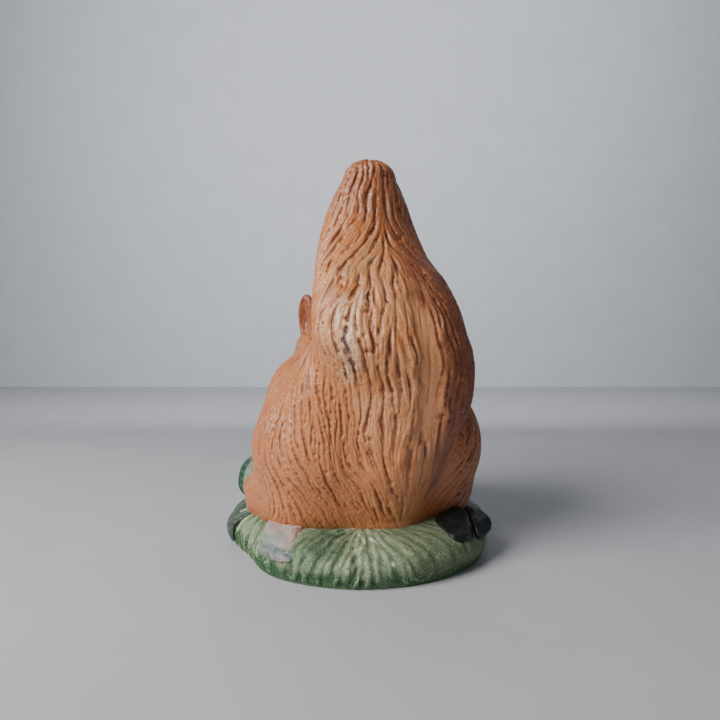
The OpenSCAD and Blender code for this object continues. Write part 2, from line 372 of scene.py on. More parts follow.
def skin_of(form, low, high, cell, levels):
    """Fine quads on a form, from the first placing of the grid that gives a clean skin."""
    tries = []
    for shift in GRID_SHIFTS:
        points, quads = first_skin(form, np.array(low, float) - shift * cell, high, cell)
        tries.append((doubled_edges(quads), len(tries), points, quads))
        if tries[-1][0] == 0:
            break
    _, _, points, quads = min(tries, key=lambda found: found[:2])
    points = settle(form, points)
    for _ in range(levels):
        points, quads = refined(points, quads)
        points = settle(form, points, 1)
    return settle(form, points, 1), quads


# ---------------------------------------------------------------- strokes along the lie of the fur

class Flow:
    """Directions on a coarse grid, read back smoothly anywhere."""

    CELL = 1.5

    def __init__(self, rule, low, high):
        self.low = np.array(low, float)
        self.counts = np.ceil((np.array(high) - low) / self.CELL).astype(int) + 2
        self.table = on_grid(rule, self.low, self.CELL, self.counts).astype(np.float32)

    def __call__(self, points):
        q = np.clip((points - self.low) / self.CELL, 0, self.counts - 1.001)
        i = q.astype(np.int64)
        t = (q - i).astype(np.float32)
        rows, deep = self.counts[1], self.counts[2]
        base = (i[:, 0] * rows + i[:, 1]) * deep + i[:, 2]
        out = np.zeros((len(points), 3), np.float32)
        for a in (0, 1):
            wa = t[:, 0] if a else 1 - t[:, 0]
            for b in (0, 1):
                wb = wa * (t[:, 1] if b else 1 - t[:, 1])
                for c in (0, 1):
                    wc = wb * (t[:, 2] if c else 1 - t[:, 2])
                    out += self.table[base + (a * rows + b) * deep + c] * wc[:, None]
        return unit(out)


def strokes(points, flow, layers, step=0.5):
    """Noise averaged along the flow, as soft strokes. A layer is a noise, its cell and its reach each way."""
    counts = [int(reach / step) for _, _, reach in layers]
    out = np.zeros((len(layers), len(points)), np.float32)
    for sign in (1, -1):
        q = points.astype(np.float32)
        for i in range(max(counts)):
            q = q + sign * step * flow(q)
            for k, (noise, cell, _) in enumerate(layers):
                if i < counts[k]:
                    out[k] += (1 + math.cos(math.pi * (i + 1) / (counts[k] + 1))) * noise(q, cell)
    return out


def edges_of(quads):
    pairs = sides_of(quads)
    return pairs[pairs[:, 0] < pairs[:, 1]]


def blurred(values, pairs, rounds):
    """Values spread to their neighbours along a mesh's edges."""
    n = len(values)
    one, two = pairs.T
    share = np.maximum(np.bincount(one, minlength=n) + np.bincount(two, minlength=n), 1)
    for _ in range(rounds):
        total = np.bincount(one, values[two], n) + np.bincount(two, values[one], n)
        values = 0.5 * values + 0.5 * total / share
    return values


def evened(values, pairs, rounds):
    """Values with their local mean taken off and their local contrast made the same everywhere."""
    values = values - blurred(values, pairs, rounds)
    spread = np.sqrt(blurred(values ** 2, pairs, 2 * rounds))
    return values / np.maximum(spread, 1e-6)


# ---------------------------------------------------------------- the furred animal

wander = Noise(11)
# Corners of the room round the animal
LOW = (-44, -46, 3)
HIGH = (44, 40, 123)
# Smooth valley down the back of the tail: height, x
VALLEY = np.array([
    (18, -0.5), (24, -1.6), (32, -4.0), (40, -5.8), (50, -6.6), (60, -5.8), (66, -5.2), (76, -5.0),
    (86, -6.4), (96, -8.0)])
VALLEY_WIDE = 3.4
VALLEY_DEEP = 0.85
BANK_HIGH = 0.35


def from_valley(p):
    return p[:, 0] - np.interp(p[:, 2], VALLEY[:, 0], VALLEY[:, 1])


def valley_share(p):
    """1 along the valley, which has a sharp bank on its left and a soft one on its right."""
    z = p[:, 2]
    across = from_valley(p) / VALLEY_WIDE + 0.3 * wander(p, 4.0)
    return band(across, -1.7, -0.5, 0.7, 1.25) * band(z, 30, 46, 76, 90) * ramp(14, 22, p[:, 1])


def carved_form(p):
    """The animal with the valley sunk and its left bank raised."""
    z = p[:, 2]
    bank = np.exp(-((from_valley(p) - 1.45 * VALLEY_WIDE) / 1.6) ** 2)
    bank = bank * band(z, 22, 30, 70, 82) * ramp(14, 22, p[:, 1])
    deep = VALLEY_DEEP * (0.35 + 0.65 * ramp(80, 66, z))
    return animal_form(p) + deep * valley_share(p) - BANK_HIGH * bank * (0.5 + 1.2 * wander(p, 4.0))


def mirrored(path, middle=0.0):
    return [(2 * middle - x, y, z) for x, y, z in path]


LIMB_LINES = {
    "left_foreleg": FORELEG[0], "right_foreleg": mirrored(FORELEG[0]),
    "left_foot": FOOT[0], "right_foot": mirrored(FOOT[0], FEET_MIDDLE)}


def along_line(p, path):
    """Direction of the nearest stretch of a limb's line."""
    distances, ways = [], []
    for a, b in zip(np.array(path[:-1], float), np.array(path[1:], float)):
        distances.append(rod(p, a, b, 0, 0))
        ways.append((b - a) / np.linalg.norm(b - a))
    return np.array(ways)[np.argmin(distances, 0)]


# Lean of the tail's strokes away from its middle: height, degrees
TAIL_LEAN = np.array([
    (12, -50), (24, -32), (34, -14), (50, -4), (66, 6), (76, 20), (86, 38), (95, 42), (103, 22), (112, 6),
    (121, 0)])
# Where the hair parts: over the tail's tip and at the nose
TAIL_CROWN = np.array([-0.5, 9.4, 122.5])
NOSE = np.array([0.0, -40.6, 56.6])
# The body's low hair leans towards this y, behind the animal
HAIR_MEETS = 34


def tail_flow(p):
    x, _, z = p.T
    cx, _, wide, _ = tail_section(z)
    across = (x - cx) / np.maximum(wide, 3)
    sharp = 1.2 + 3.0 * band(z, 84, 92, 100, 108)
    lean = np.radians(np.interp(z, TAIL_LEAN[:, 0], TAIL_LEAN[:, 1]))
    sideways = np.tanh(sharp * across) * np.sin(np.abs(lean)) * np.sign(lean)
    crown = ramp(111, 119, z)[:, None]
    return (1 - crown) * np.stack([sideways, 0 * x, -np.cos(lean)], 1) + crown * unit(p - TAIL_CROWN)


def body_flow(p):
    x, y, z = p.T
    pull = 0.12 + (0.75 - 0.4 * ramp(-2, 10, x)) * ramp(48, 16, z)
    pull = pull * ramp(-16, 10, y)
    away = unit(np.stack([BODY_AT[0] - x, HAIR_MEETS - y, 0 * x], 1))
    return np.array([0, 0, -1.0]) + pull[:, None] * away


def fur_rule(p):
    """The way the hair lies at each point."""
    flows = {"tail": tail_flow(p), "body": body_flow(p), "head": unit(p - NOSE) + np.array([0, 0.5, -0.2])}
    for name, path in LIMB_LINES.items():
        flows[name] = along_line(p, path)
    total = 0
    for name, flow in flows.items():
        near = np.exp(-np.maximum(FORMS[name](p), -1.0) / 1.2)
        total = total + near[:, None] * unit(flow)
    _, normal = gradient(animal_form, p, 0.3)
    normal = unit(normal)
    total = unit(total - (total * normal).sum(1, keepdims=True) * normal)
    turn = 0.34 * wander(p, 7.0) + 0.30 * wander(p + 50.0, 3.4)
    side = np.cross(normal, total)
    return total * np.cos(turn)[:, None] + side * np.sin(turn)[:, None]


def spot(p, at, size):
    """1 in the middle of an egg-shaped spot, 0 outside it."""
    return ramp(1.0, 0.35, np.linalg.norm((p - at) / size, axis=1))


# Worn and stained places on the tail: centre, half size
CREAM = [((15.9, 30, 72), (4.4, 8, 7)), ((16.2, 32, 64), (4.2, 8, 8)), ((15, 30, 57), (2.8, 8, 6)),
         ((11, 31, 76), (3, 8, 4))]
SLATE = [((17, 32, 64), (2.4, 6, 5)), ((14.6, 32, 60.5), (2.2, 6, 4)), ((15.6, 31, 57.5), (1.6, 6, 3)),
         ((-6.4, 33.2, 33.5), (1.2, 6, 2.2))]
MOSS = [((12.2, 25, 84), (5, 7, 5)), ((6.8, 21.4, 89), (4, 7, 4.5)), ((3.5, 20.4, 92), (3, 7, 3))]


def marks_on(p, marks):
    return np.max([spot(p, at, size) for at, size in marks], axis=0)


# Near the middle of each eye, an eye's radius and the width of its socket
EYES = [(12.0, -30.0, 63.0), (-12.0, -30.0, 63.0)]
EYE_R = 3.0
SOCKET = 1.6
MOUTH_Z = 52.3
# Middle of the left paw and of the left toes, and the spacing of each one's fingers
PAW_AT = (7, -34, 43.5)
TOES_AT = (32, -18.2, 16.2)
PAW_FINGER = 2.3
TOE = 3.0


def face_and_fingers(points, head):
    """Paint masks of the eyes, nose, mouth and fingers, with a painted highlight on each eye, and how far
    each point rises for them.
    """
    x, y, z = points.T
    eye, socket, painted_eye_highlight, fingers = np.zeros((4, len(points)))
    for at in settle(animal_form, np.array(EYES), 6):
        away = np.linalg.norm(points - at, axis=1)
        # A painted highlight: a small white spot on each eye stands for the gloss of the eye
        painted_eye_highlight = np.maximum(painted_eye_highlight, spot(points, at + [-0.2 * np.sign(at[0]), -0.9, 1.1], 0.9))
        eye = np.maximum(eye, ramp(EYE_R, EYE_R - 0.5, away))
        socket = np.maximum(socket, ramp(EYE_R + SOCKET, EYE_R, away))
    nose = spot(points, NOSE + np.array([0, 0, 0.4]), np.array([2.6, 2.6, 1.9]))
    mouth = np.exp(-((z - MOUTH_Z - 0.06 * x ** 2) / 0.35) ** 2)
    mouth = mouth * ramp(-35, -37, y) * ramp(5, 3.6, np.abs(x))
    split = np.exp(-(x / 0.4) ** 2) * ramp(-37, -38.2, y) * head
    split = split * band(z, MOUTH_Z - 0.7, MOUTH_Z + 0.1, 55, 56)
    for paw_at, toes_at in ((PAW_AT, TOES_AT), (mirrored([PAW_AT])[0], mirrored([TOES_AT], FEET_MIDDLE)[0])):
        paw = ramp(6.0, 4.0, np.linalg.norm(points - paw_at, axis=1))
        rows = np.cos(2 * math.pi * (z - PAW_AT[2] + 1.1) / PAW_FINGER)
        fingers = np.maximum(fingers, paw * ramp(0.55, 1.0, rows))
        toes = ramp(5.5, 4.0, np.linalg.norm(points - toes_at, axis=1))
        rows = np.cos(2 * math.pi * (x - toes_at[0]) / TOE)
        fingers = np.maximum(fingers, toes * ramp(0.6, 1.0, rows))
    masks = {
        "eye": eye, "painted_eye_highlight": painted_eye_highlight, "nose": nose,
        "mouth": np.maximum(0.8 * np.maximum(mouth, split), 0.5 * fingers)}
    rise = 0.45 * eye - 0.5 * socket * (1 - eye) + 0.5 * nose - 0.6 * mouth - 0.5 * split - 0.55 * fingers
    return masks, rise, socket


STROKES = [(Noise(1), 1.5, 8.0), (Noise(2), 0.95, 8.0)]
HAIRS = [(Noise(3), 0.52, 3.0)]
patches = Noise(4)


def make_animal():
    """Points, quads, the form that each point belongs to, and the paint masks of the furred animal."""
    points, quads = skin_of(carved_form, LOW, HIGH, CELL, 2)
    pairs = edges_of(quads)
    flow = Flow(fur_rule, LOW, HIGH)
    bold, fine = strokes(points, flow, STROKES)
    hair = evened(strokes(points, flow, HAIRS, 0.24)[0], pairs, 6)
    bold = evened(bold, pairs, 24)
    fine = evened(fine, pairs, 16)
    names = list(FORMS)
    owner = np.argmin([form(points) for form in FORMS.values()], 0)
    x, y, z = points.T

    def on(*wanted, rounds=20):
        return blurred(np.isin(owner, [names.index(w) for w in wanted]).astype(float), pairs, rounds)

    tail = on("tail")
    head = on("head")
    paws = on("left_foreleg", "right_foreleg", rounds=12)
    feet = on("left_foot", "right_foot", rounds=12)
    # Bold strokes on the inner part of the tail, fine ones elsewhere, and hairs over both
    cx, _, wide, _ = tail_section(z)
    inner = ramp(0.95, 0.6, np.abs(x - cx - 2) / np.maximum(wide, 3))
    coarse = np.clip(tail * inner * ramp(118, 106, z) + 0.3 * ramp(50, 30, z), 0.15, 1)
    value = (coarse * bold + (1 - coarse) * fine) / np.sqrt(coarse ** 2 + (1 - coarse) ** 2)
    value = value + (0.14 + 0.2 * (1 - coarse)) * hair
    # Depth of the strokes, which fade on the paws, feet, face, valley and low at the back
    strong = 0.4 + 0.6 * ramp(-0.35, 0.3, patches(points, 5.0))
    strong = np.maximum(strong, ramp(-17, -22, x) * ramp(62, 54, z))
    valley = valley_share(points)
    smooth_low = ramp(38, 28, z) * band(x, -26, -16, -4, 8) * ramp(12, 20, y)
    depth = (0.31 + 0.19 * tail * inner) * strong
    depth = depth * (1 - 0.5 * head - 0.5 * paws - 0.75 * feet)
    for amount, share in (
            (0.85, ramp(0.2, 0.85, valley)), (0.8, smooth_low), (0.6, ramp(17, 11, z)),
            (0.8, spot(points, NOSE + np.array([0, 2.0, 0]), 8.0))):
        depth = depth * (1 - amount * share)
    rise = depth * (0.5 * ramp(-0.2, 1.6, value) - ramp(-0.2, -1.6, value))
    rise = rise + 0.025 * np.clip(hair, -2, 2) * np.minimum(1, depth / 0.2)
    face_masks, face_rise, socket = face_and_fingers(points, head)
    lobe = ramp(-5.5, -16, x + 2.5 * wander(points, 4.0) + 1.2 * value) * ramp(90, 78, z) * tail
    points = points + normals_of(points, quads) * (rise * (1 - socket) + face_rise)[:, None]

    around = np.clip(1.4 - 0.6 * np.abs(wander(points, 5.0)), 0, 1)
    haunch = ramp(-20, -27, x) * (1 - tail)
    # Painted shade: the upper right side of the tail, turned from the light, goes into the lobe mask
    tail_right_shade = 0.95 * ramp(2, -8, x + 2 * wander(points, 5.0)) * band(z, 70, 76, 88, 96)
    masks = {
        "stroke": np.clip(value, -3, 3),
        "deep": np.minimum(1, depth / 0.40) ** 0.8,
        "hair": np.clip(hair, -3, 3) * (1 - 0.8 * feet) * (1 - 0.5 * smooth_low) * (1 - 0.8 * valley),
        "tail": tail * ramp(96, 84, z) * (1 - lobe) * around,
        # Darker reddish-brown paint on the tail's right lobe and a little on the right haunch, with painted
        # shade down the side turned from the light
        "lobe": np.clip(lobe + tail_right_shade + 0.3 * haunch, 0, 1),
        "haunch": haunch,
        "low": ramp(56, 26, z) * (1 - 0.6 * feet) * (1 - 0.4 * tail),
        "valley": valley,
        "tip": ramp(92, 108, z + 0.5 * (5 - x)),
        "cream": marks_on(points, CREAM), "slate": marks_on(points, SLATE), "moss": marks_on(points, MOSS)}
    return points, quads, owner, {**masks, **face_masks}


def boundary_loops(quads):
    """Loops of directed edges that no neighbouring face answers."""
    directed = Counter(map(tuple, sides_of(quads).tolist()))
    onward = {}
    for (a, b), count in directed.items():
        for _ in range(count - directed.get((b, a), 0)):
            onward.setdefault(a, []).append(b)
    loops = []
    while onward:
        start = here = next(iter(onward))
        loop = []
        while True:
            loop.append(here)
            there = onward[here].pop()
            if not onward[here]:
                del onward[here]
            here = there
            if here == start:
                break
        loops.append(loop)
    return loops


def add_object(name, co, faces, masks, normals=None):
    """A smooth object from places in millimetres, with a value of each mask at each point."""
    mesh = bpy.data.meshes.new(name)
    mesh.from_pydata((np.asarray(co, float) * MM).tolist(), [], faces)
    mesh.polygons.foreach_set("use_smooth", np.ones(len(mesh.polygons), bool))
    for key, values in masks.items():
        mesh.attributes.new(key, "FLOAT", "POINT").data.foreach_set("value", values.astype(np.float32))
    if normals is not None:
        mesh.normals_split_custom_set_from_vertices(normals.tolist())
    obj = bpy.data.objects.new(name, mesh)
    bpy.context.collection.objects.link(obj)
    return obj


def piece_from(name, points, quads, normals, masks, inward=1.5):
    """A closed object from part of a skin: each open edge is closed by a cap that lies inside."""
    used, local = np.unique(quads, return_inverse=True)
    local = local.reshape(-1, 4)
    faces = local.tolist()
    co, no = points[used], normals[used]
    extra_co, extra_no = [], []
    for loop in boundary_loops(local):
        centre = co[loop].mean(0)
        way = co.mean(0) - centre
        far = max(np.linalg.norm(way), 1e-6)
        first = len(co) + len(extra_co)
        # Straight in under the skin first, then across
        extra_co += [*(co[loop] - no[loop] * inward), centre + way * min(1.0, inward / far)]
        extra_no += [*no[loop], -way / far]
        hub = first + len(loop)
        for k in range(len(loop)):
            after = (k + 1) % len(loop)
            faces.append((loop[after], loop[k], first + k, first + after))
            faces.append((first + after, first + k, hub))
    if extra_co:
        co, no = np.vstack([co, extra_co]), np.vstack([no, extra_no])
    here = {key: np.pad(values[used], (0, len(extra_co))) for key, values in masks.items()}
    return add_object(name, co, faces, here, no)


# ---------------------------------------------------------------- ears and nut

EAR_AT = np.array([12.0, -19.0, 74.0])
EAR_TURN = 115
EAR_LEAN = 7
EAR_HALF = np.array([4.6, 2.8, 7.8])
EAR_ROOM = np.array([8, 6, 10])
EAR_CELL = 0.9


def turned(x, y, degrees):
    """Places seen from axes turned from x towards y."""
    c, s = math.cos(math.radians(degrees)), math.sin(math.radians(degrees))
    return x * c + y * s, y * c - x * s


def to_ear(p):
    """Places seen from the left ear: its hollow in front at -Y, its tip at +Z."""
    x, y, z = (p - EAR_AT).T
    x, z = turned(x, z, -EAR_LEAN)
    return np.stack([*turned(x, y, EAR_TURN), z], 1)


def ear_form(p):
    """A blunt ear with a deep hollow in front, on a base that sinks into the head."""
    q = to_ear(p)
    q[:, 0] /= 1 - 0.2 * np.clip(q[:, 2] / EAR_HALF[2], -1, 1)
    outer = blend(egg(q, (0, 0, 0), EAR_HALF), rod(q, (0, 0.6, -4), (0, 1.5, -9), 3.2, 4.4), 2.5)
    hollow = egg(q, (0, -2.8, 0.4), (3.2, 2.9, 6.4))
    return -blend(-outer, hollow, 0.7)


def make_ears():
    points, quads = skin_of(ear_form, EAR_AT - EAR_ROOM, EAR_AT + EAR_ROOM, EAR_CELL, 1)
    inside = spot(to_ear(points), (0, -2.6, 0.2), (3.7, 3.0, 7.0))
    value = strokes(points, lambda at: unit(np.array([0.1, 0, -1.0]) + 0 * at), [(Noise(5), 1.0, 3.0)])[0]
    value = evened(value, edges_of(quads), 12)
    points = points - normals_of(points, quads) * (0.16 * ramp(0.1, -1.3, value))[:, None]
    masks = {
        "stroke": np.clip(value, -3, 3), "deep": 0.6 * (1 - inside), "lobe": 0.8 + 0.2 * inside,
        "inside": inside}
    for side, sign in (("left", 1), ("right", -1)):
        co = points * [sign, 1, 1]
        faces = quads[:, ::sign]
        yield piece_from(side + "_ear_skin", co, faces, normals_of(co, faces), masks), side + "_ear"


def ring_quads(rows, columns):
    """Quads between rows of points that each run once round."""
    i, j = np.meshgrid(np.arange(rows - 1), np.arange(columns), indexing="ij")
    k = (j + 1) % columns
    quads = np.stack([i * columns + j, i * columns + k, (i + 1) * columns + k, (i + 1) * columns + j], -1)
    return quads.reshape(-1, 4)


NUT_AT = np.array([0.0, -32.0, 42.0])
NUT_R, NUT_LEN, NUT_TILT = 6.6, 9.0, -14.0
CUP_R = NUT_R + 0.9
CUP_SCALES = 14
SCALE_ROW = 0.9
NUT_SIDES = 96


def lathe(name, outline, dents, groove):
    """A turned form on the nut's axis, dented and painted by rules of angle, height and radius."""
    r, h = np.array(outline, float).T[..., None]
    angles = np.arange(NUT_SIDES)[None, :] * 2 * math.pi / NUT_SIDES
    wide = r + dents(angles, h, r)
    y, z = turned(wide * np.sin(angles), h, -NUT_TILT)
    co = np.stack([wide * np.cos(angles), y, z], -1).reshape(-1, 3) + NUT_AT
    quads = ring_quads(len(outline), NUT_SIDES)
    if h[-1, 0] < h[0, 0]:
        quads = quads[:, ::-1]
    return piece_from(name, co, quads, normals_of(co, quads), {"groove": groove(angles, h).ravel()}, 0.0)


def make_kernel():
    angles = np.radians(np.linspace(4, 89, 30))
    outline = [(NUT_R * math.cos(a) ** 0.9 + 0.02, -NUT_LEN * math.sin(a)) for a in angles]
    return lathe("nut_kernel", outline,
                 lambda a, h, r: 0.10 * np.cos(9 * a) * np.minimum(1, r / 4),
                 lambda a, h: 0.6 * ramp(0.6, -0.9, np.cos(18 * a + 1.3 * np.sin(0.7 * h))))


def make_cup():
    """The nut's cup, covered with scales in staggered rows, and its stalk."""
    dome = [(CUP_R * math.cos(a), 0.6 + 4.2 * math.sin(a)) for a in np.radians(np.linspace(12, 78, 22))]
    rim = [(CUP_R - 1.6, 0.0), (CUP_R - 0.4, -0.3), (CUP_R, 0.4), (CUP_R + 0.05, 1.0)]
    stalk = [(1.1, 5.1), (0.95, 5.8), (0.85, 6.2), (0.4, 6.35)]

    def row_of_scales(a, h):
        return np.cos(CUP_SCALES * a + math.pi * (np.round(h / SCALE_ROW) % 2))

    def dents(a, h, r):
        scale = row_of_scales(a, h) * np.cos(2 * math.pi * h / SCALE_ROW)
        return 0.18 * scale * ramp(1.2, 3.0, r)

    return lathe("nut_scaly_cup", rim + dome + stalk, dents,
                 lambda a, h: 0.8 * ramp(0.3, -0.6, row_of_scales(a, h)))


# ---------------------------------------------------------------- mound

MOUND_R = 42.0
# The mound's side from the table up: share of the radius, height
MOUND_SIDE = np.array([
    (0.955, 0.0), (0.975, 0.6), (0.985, 1.4), (0.99, 2.4), (1.004, 3.8), (1.01, 5.2), (1.004, 6.6),
    (0.985, 7.8), (0.955, 8.8), (0.915, 9.6), (0.87, 10.2), (0.80, 10.8), (0.70, 11.0), (0.45, 10.8),
    (0.2, 10.6)])
SIDE_STEPS = np.diff(MOUND_SIDE, axis=0) * [MOUND_R, 1]
SIDE_LENGTH = np.concatenate([[0], np.cumsum(np.hypot(*SIDE_STEPS.T))])
MOUND_COLUMNS = 720
MOUND_ROW = 0.38
# Dents in the mound's outline: direction and half width in degrees, depth
MOUND_DENTS = [(8, 13, 3.0), (146, 11, 2.4), (250, 14, 2.0)]


def mound_outline(angle):
    """Radius of the mound in each direction, in degrees."""
    dent = 0
    for toward, half, deep in MOUND_DENTS:
        away = np.minimum(2, np.abs((angle - toward + 540) % 360 - 180) / half)
        dent = np.maximum(dent, deep * (1 + np.cos(math.pi / 2 * away)) / 2)
    return MOUND_R - dent


def up_the_side(length):
    """Share of the radius and height at each length up the mound's side."""
    return [np.interp(length, SIDE_LENGTH, MOUND_SIDE[:, k]) for k in (0, 1)]


def round_axis(share, high, angle):
    """Places on the mound at a share of its radius, a height and a direction in degrees."""
    r, turn = share * mound_outline(angle), np.radians(angle)
    return np.stack(np.broadcast_arrays(r * np.cos(turn), r * np.sin(turn), high), -1)


FAN_CENTRES = np.array([(14.0, 41.0), (38.0, -4.0), (-30.0, -18.0), (8.0, -40.0)])


def mound_rule(p):
    """Grass on the mound: outwards and down, in broad fans that spread from under the body."""
    angle = np.arctan2(p[:, 1], p[:, 0])
    out = np.stack([np.cos(angle), np.sin(angle), 0 * angle], 1)
    along = np.stack([-np.sin(angle), np.cos(angle), 0 * angle], 1)
    steep = 1.5 * ramp(11.5, 7.0, p[:, 2])
    down = out * np.cos(steep)[:, None] + np.array([0, 0, -1.0]) * np.sin(steep)[:, None]
    turn = 0
    for x, y in FAN_CENTRES:
        away = (angle - math.atan2(y, x) + math.pi) % (2 * math.pi) - math.pi
        turn = turn + 0.9 * np.sin(2.2 * np.clip(away, -0.7, 0.7)) * np.exp(-(away / 0.55) ** 2)
    turn = turn + 0.2 * wander(p, 6.0) + 0.12 * wander(p + 9.0, 3.0)
    return down * np.cos(turn)[:, None] + along * np.sin(turn)[:, None]


# Pale scratches in the grass: where each runs from and to
WHITE_SCRATCHES = [((11.7, 25.3, 11.9), (12.2, 35.7, 10.4)), ((10.0, 30.6, 11.5), (7.2, 41.6, 6.4))]


def make_mound():
    rows = np.arange(0, SIDE_LENGTH[-1], MOUND_ROW)
    share, high = up_the_side(rows)
    for line in (share, high):
        for _ in range(6):
            line[1:-1] = (line[:-2] + 2 * line[1:-1] + line[2:]) / 4
    angle = np.arange(MOUND_COLUMNS) * 360.0 / MOUND_COLUMNS
    share, high = share[:, None], high[:, None]
    swell = np.sin(np.radians(angle) - 1.2) ** 2 * ramp(6, 11, high)
    points = round_axis(share, high + swell, angle).reshape(-1, 3)
    quads = ring_quads(len(rows), MOUND_COLUMNS)
    pairs = edges_of(quads)
    flow = Flow(mound_rule, (-46, -46, -2), (46, 46, 16))
    blades, hairs = strokes(points, flow, [(Noise(21), 1.7, 10.0), (Noise(22), 0.55, 5.0)])
    hairs = evened(hairs, pairs, 10)
    value = evened(blades, pairs, 30) + 0.2 * hairs
    ridge = ramp(-0.2, 1.7, value)
    groove = ramp(-0.3, -1.7, value)
    x, y, z = points.T
    side_on = np.clip(z / 2.0, 0, 1)
    broken = Noise(23)(points, 7.0)
    toward = np.degrees(np.arctan2(y, x))
    # The mound's right side, turned from the light: lower relief and painted shade
    right = band(toward, 78, 92, 150, 200)
    strong = (0.35 + 0.65 * ramp(-0.3, 0.3, Noise(24)(points, 8.0))) * (1 - 0.8 * right)
    rise = side_on * (strong * (0.34 * ridge - 0.40 * groove) + 0.35 * broken * ramp(1, 4, z))
    points = points + normals_of(points, quads) * rise[:, None]
    points[:, 2] = np.maximum(points[:, 2], 0)
    left = band(toward, -60, -20, 40, 62)
    ragged = 0.5 * Noise(25)(points, 1.6) + 0.35 * hairs / 2
    seam = ramp(1.0, 0.3, body_form(points) + 0.5 * ragged) * band(toward, 56, 62, 96, 104)
    for a, b in WHITE_SCRATCHES:
        seam = np.maximum(seam, ramp(0.6, 0.15, rod(points, a, b, 0, 0) + 0.2 * ragged))
    shade = band(toward, 42, 47, 54, 66) * ramp(5, 8.5, z + broken)
    low = ramp(4.6, 2.0, z - 1.6 * left + 1.8 * broken + ragged) * ramp(0.2, 0.8, z)
    masks = {
        "blade": np.clip(value, -3, 3), "deep": side_on * strong, "pale": left, "right_side_shade": right,
        "low": low, "lip": ramp(1.0, 0.3, z), "seam": seam, "shade": shade}
    return piece_from("grassy_mound", points, quads, normals_of(points, quads), masks, 0.0)


# ---------------------------------------------------------------- stones and leaves

# Corners of each stone: round its top first, then the sunk ones
PALE_STONE = [
    (32.4, 8.6, 12.0), (28.6, 9.2, 12.5), (26.0, 15.4, 12.4), (24.4, 17.4, 11.6), (34.6, 13.1, 11.8),
    (36.8, 17.9, 9.9), (29.8, 25.4, 10.2), (27.4, 25.0, 8.6), (37.4, 21.2, 7.0), (31.2, 29.4, 6.6),
    (34.6, 26.8, 6.2), (30.0, 12.0, 6.0), (26.0, 18.0, 6.0), (30.0, 24.0, 4.0)]
# Edge between the pale stone's face and its side, in plan, and its chipped corners
PALE_EDGE = np.array([(26.0, 15.4), (29.8, 25.4)])
PALE_CHIPS = [((25.2, 16.6, 12.2), 2.2), ((31.5, 8.4, 12.4), 1.6)]
DARK_STONES = {
    "dark_stone_a": [
        (-24.0, 20.0, 13.2), (-13.0, 26.0, 12.8), (-11.8, 30.2, 12.4), (-12.0, 37.4, 10.6),
        (-16.6, 38.6, 10.2), (-21.0, 34.8, 11.4), (-25.4, 24.0, 13.4), (-12.4, 38.4, 7.0),
        (-21.0, 35.4, 7.0), (-25.0, 22.0, 7.0), (-13.0, 27.0, 7.0)],
    "dark_stone_b": [
        (-26.8, 20.6, 13.4), (-28.6, 24.6, 13.4), (-31.4, 28.4, 11.6), (-31.2, 30.4, 8.6),
        (-22.4, 36.2, 8.6), (-21.9, 34.2, 11.5), (-25.9, 24.6, 13.2), (-30.0, 29.0, 6.0),
        (-22.0, 35.0, 6.0), (-27.0, 21.0, 7.0)]}
STONE_BEVEL = 0.8
STONE_EDGE = 0.5


def faceted_stone(name, corners, seed, masks_rule=lambda co: {}):
    """A broken stone: the hull of its corners, with worn edges and a slightly rough skin."""
    mesh = bmesh.new()
    for corner in corners:
        mesh.verts.new(corner)
    bmesh.ops.convex_hull(mesh, input=mesh.verts)
    bmesh.ops.dissolve_limit(mesh, angle_limit=math.radians(12), verts=mesh.verts, edges=mesh.edges)
    bmesh.ops.bevel(mesh, geom=list(mesh.edges), offset=STONE_BEVEL, segments=3, affect="EDGES", profile=0.5,
                    clamp_overlap=True)
    for _ in range(4):
        bmesh.ops.triangulate(mesh, faces=mesh.faces)
        long = [e for e in mesh.edges if e.calc_length() > STONE_EDGE]
        if long:
            bmesh.ops.subdivide_edges(mesh, edges=long, cuts=1)
    bmesh.ops.triangulate(mesh, faces=mesh.faces)
    for _ in range(8):
        bmesh.ops.smooth_vert(
            mesh, verts=mesh.verts, factor=0.5, use_axis_x=True, use_axis_y=True, use_axis_z=True)
    mesh.normal_update()
    mesh.verts.index_update()
    co = np.array([v.co for v in mesh.verts])
    normal = np.array([v.normal for v in mesh.verts])
    faces = [[v.index for v in face.verts] for face in mesh.faces]
    mesh.free()
    rough, chips = Noise(seed + 100), Noise(seed + 200)
    co = co + normal * (0.22 * rough(co, 2.2) + 0.10 * chips(co, 0.8))[:, None]
    return add_object(name, co, faces, masks_rule(co))


def pale_marks(co):
    """How high each point lies, how far along the rim, how far beyond the edge, and the chipped corners."""
    around = unit(np.array([-co[:, 1].mean(), co[:, 0].mean(), 0.0]))
    way = unit(PALE_EDGE[1] - PALE_EDGE[0])
    return {
        "high": co[:, 2], "beside": (co - co.mean(0)) @ around,
        "beyond": (co[:, :2] - PALE_EDGE[0]) @ np.array([-way[1], way[0]]), "chip": marks_on(co, PALE_CHIPS)}


def sheets_object(name, top, under, masks):
    """A closed object from two sheets with the same rows and columns of points."""
    rows, columns = top.shape[:2]
    co = np.concatenate([top.reshape(-1, 3), under.reshape(-1, 3)])
    number = np.arange(rows * columns).reshape(rows, columns)
    ring = np.stack([number[:-1, :-1], number[1:, :-1], number[1:, 1:], number[:-1, 1:]], -1).reshape(-1, 4)
    rim = np.concatenate([number[0, :-1], number[:-1, -1], number[-1, :0:-1], number[:0:-1, 0]])
    after = np.roll(rim, -1)
    below = rows * columns
    edge = np.stack([rim, after, after + below, rim + below], 1)
    faces = np.concatenate([ring, ring[:, ::-1] + below, edge]).tolist()
    return add_object(name, co, faces, {key: np.tile(v.ravel(), 2) for key, v in masks.items()})


